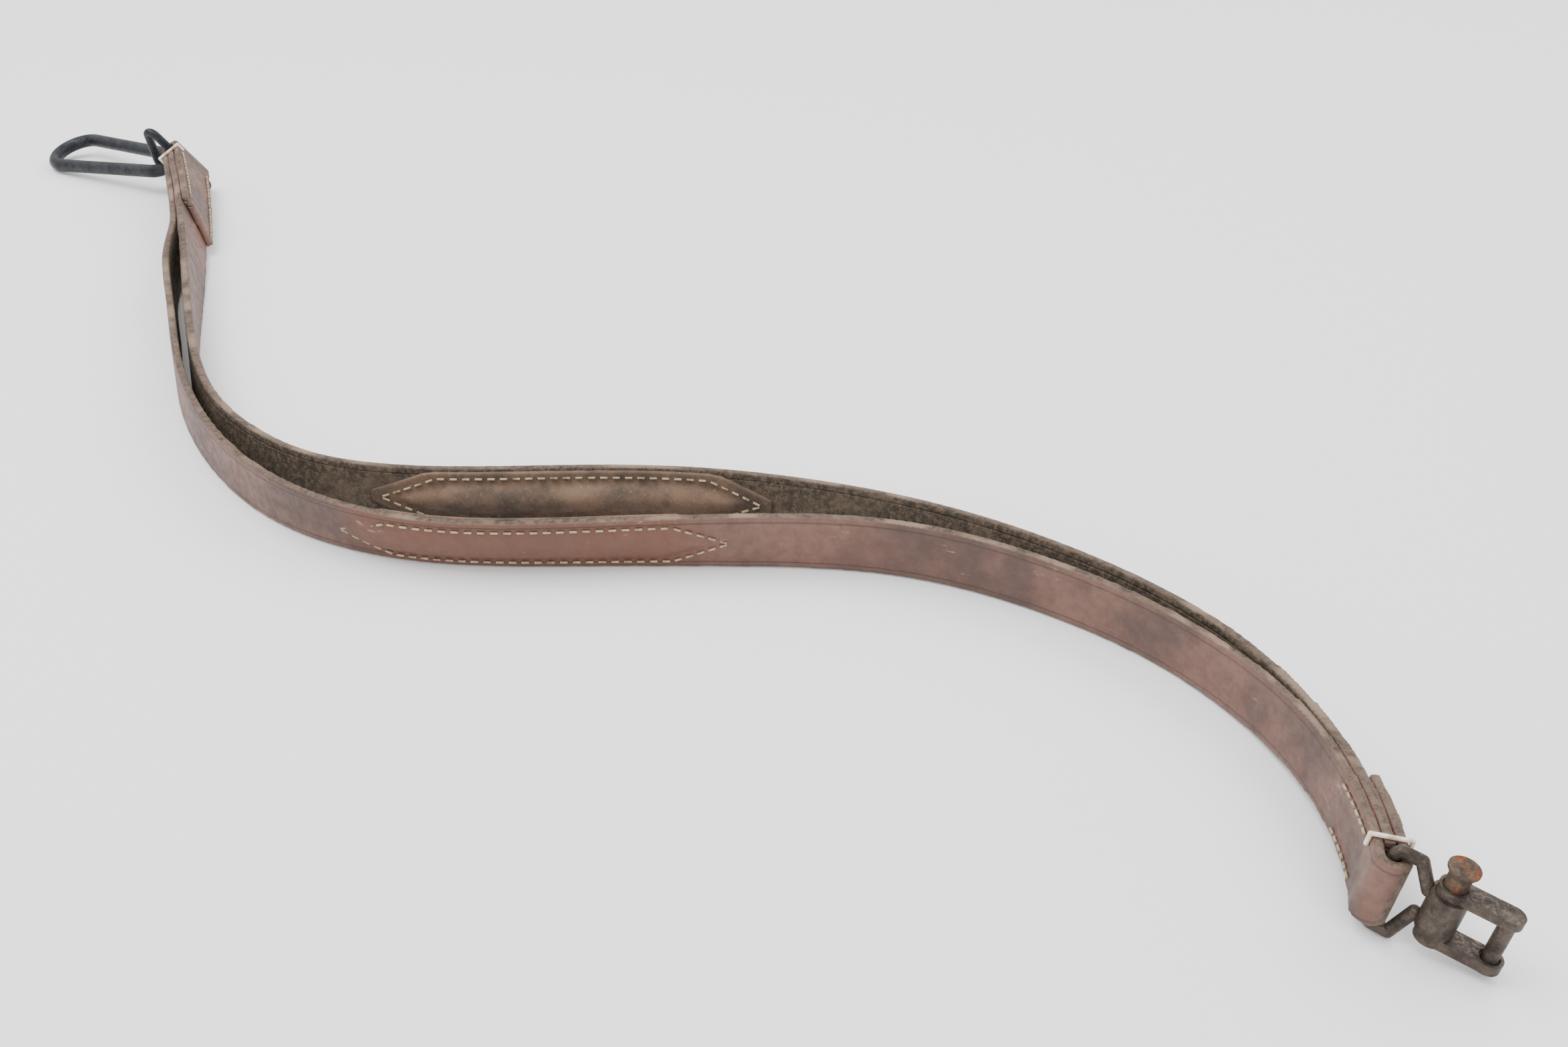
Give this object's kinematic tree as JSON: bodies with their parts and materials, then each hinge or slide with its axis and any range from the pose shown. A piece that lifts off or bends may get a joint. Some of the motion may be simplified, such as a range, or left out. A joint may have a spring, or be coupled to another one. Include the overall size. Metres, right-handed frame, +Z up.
{
  "type": "padded leather neck strap",
  "caption": "Doubled leather neck strap with sewn pads, a teardrop link hung on a wire triangle at one end and a forged clevis with a lifting latch bar at the other.",
  "frame": {"origin": "middle of the bounding box at floor level", "axes": "+X runs along the strap from the link end to the clevis end, +Y is horizontal across it, +Z is up"},
  "size_m": [1.0788, 0.2457, 0.0485],
  "materials": {
    "strap_leather": "worn grain side, rough flesh side",
    "patch_leather": "dark rough leather",
    "felt_filling": "coarse felt",
    "waxed_thread": "waxed linen thread",
    "cream_thread": "thick linen thread",
    "black_steel": "worn black semi-gloss",
    "browned_iron": "dark brown patina with rust"
  },
  "bodies": {
    "strap": {"front_strap": "strap_leather", "back_strap": "strap_leather", "front_pad_patch": "patch_leather", "back_pad_patch": "patch_leather", "front_pad_filling": "felt_filling", "back_pad_filling": "felt_filling", "front_pad_stitching": "waxed_thread", "back_pad_stitching": "waxed_thread", "link_end_upper_stitching": "waxed_thread", "link_end_lower_stitching": "waxed_thread", "clevis_end_upper_stitching": "waxed_thread", "clevis_end_lower_stitching": "waxed_thread", "link_end_edge_thread": "cream_thread", "clevis_end_edge_thread": "cream_thread"},
    "loop": {"strap_loop": "black_steel"},
    "link": {"teardrop_link": "black_steel"},
    "clevis": {"clevis_body": "browned_iron"},
    "lower_plate": {"lower_link_plate": "browned_iron", "pivot_pin": "browned_iron"},
    "latch": {"latch_bar": "browned_iron"}
  },
  "joints": [
    {"name": "loop_swing", "type": "hinge", "parent": "strap", "child": "loop", "pos_m": [-0.41583, 0.03897, 0.02246], "axis": [-0.228, -0.5263, 0.8192], "range_deg": [-60, 60]},
    {"name": "link_swing", "type": "hinge", "parent": "loop", "child": "link", "pos_m": [-0.44082, 0.03213, 0.01709], "axis": [-0.228, -0.5263, 0.8192], "range_deg": [-35, 35]},
    {"name": "clevis_swing", "type": "hinge", "parent": "strap", "child": "clevis", "pos_m": [0.49307, 0.04307, 0.02139], "axis": [0.1248, 0.0943, 0.9877], "range_deg": [-110, 25]},
    {"name": "plate_swing", "type": "hinge", "parent": "clevis", "child": "lower_plate", "pos_m": [0.51405, 0.04888, 0.01819], "axis": [0.1248, 0.0943, 0.9877], "range_deg": [-70, 70]},
    {"name": "latch_lift", "type": "slide", "parent": "lower_plate", "child": "latch", "axis": [0.1248, 0.0943, 0.9877], "range_m": [0, 0.005]}
  ]
}
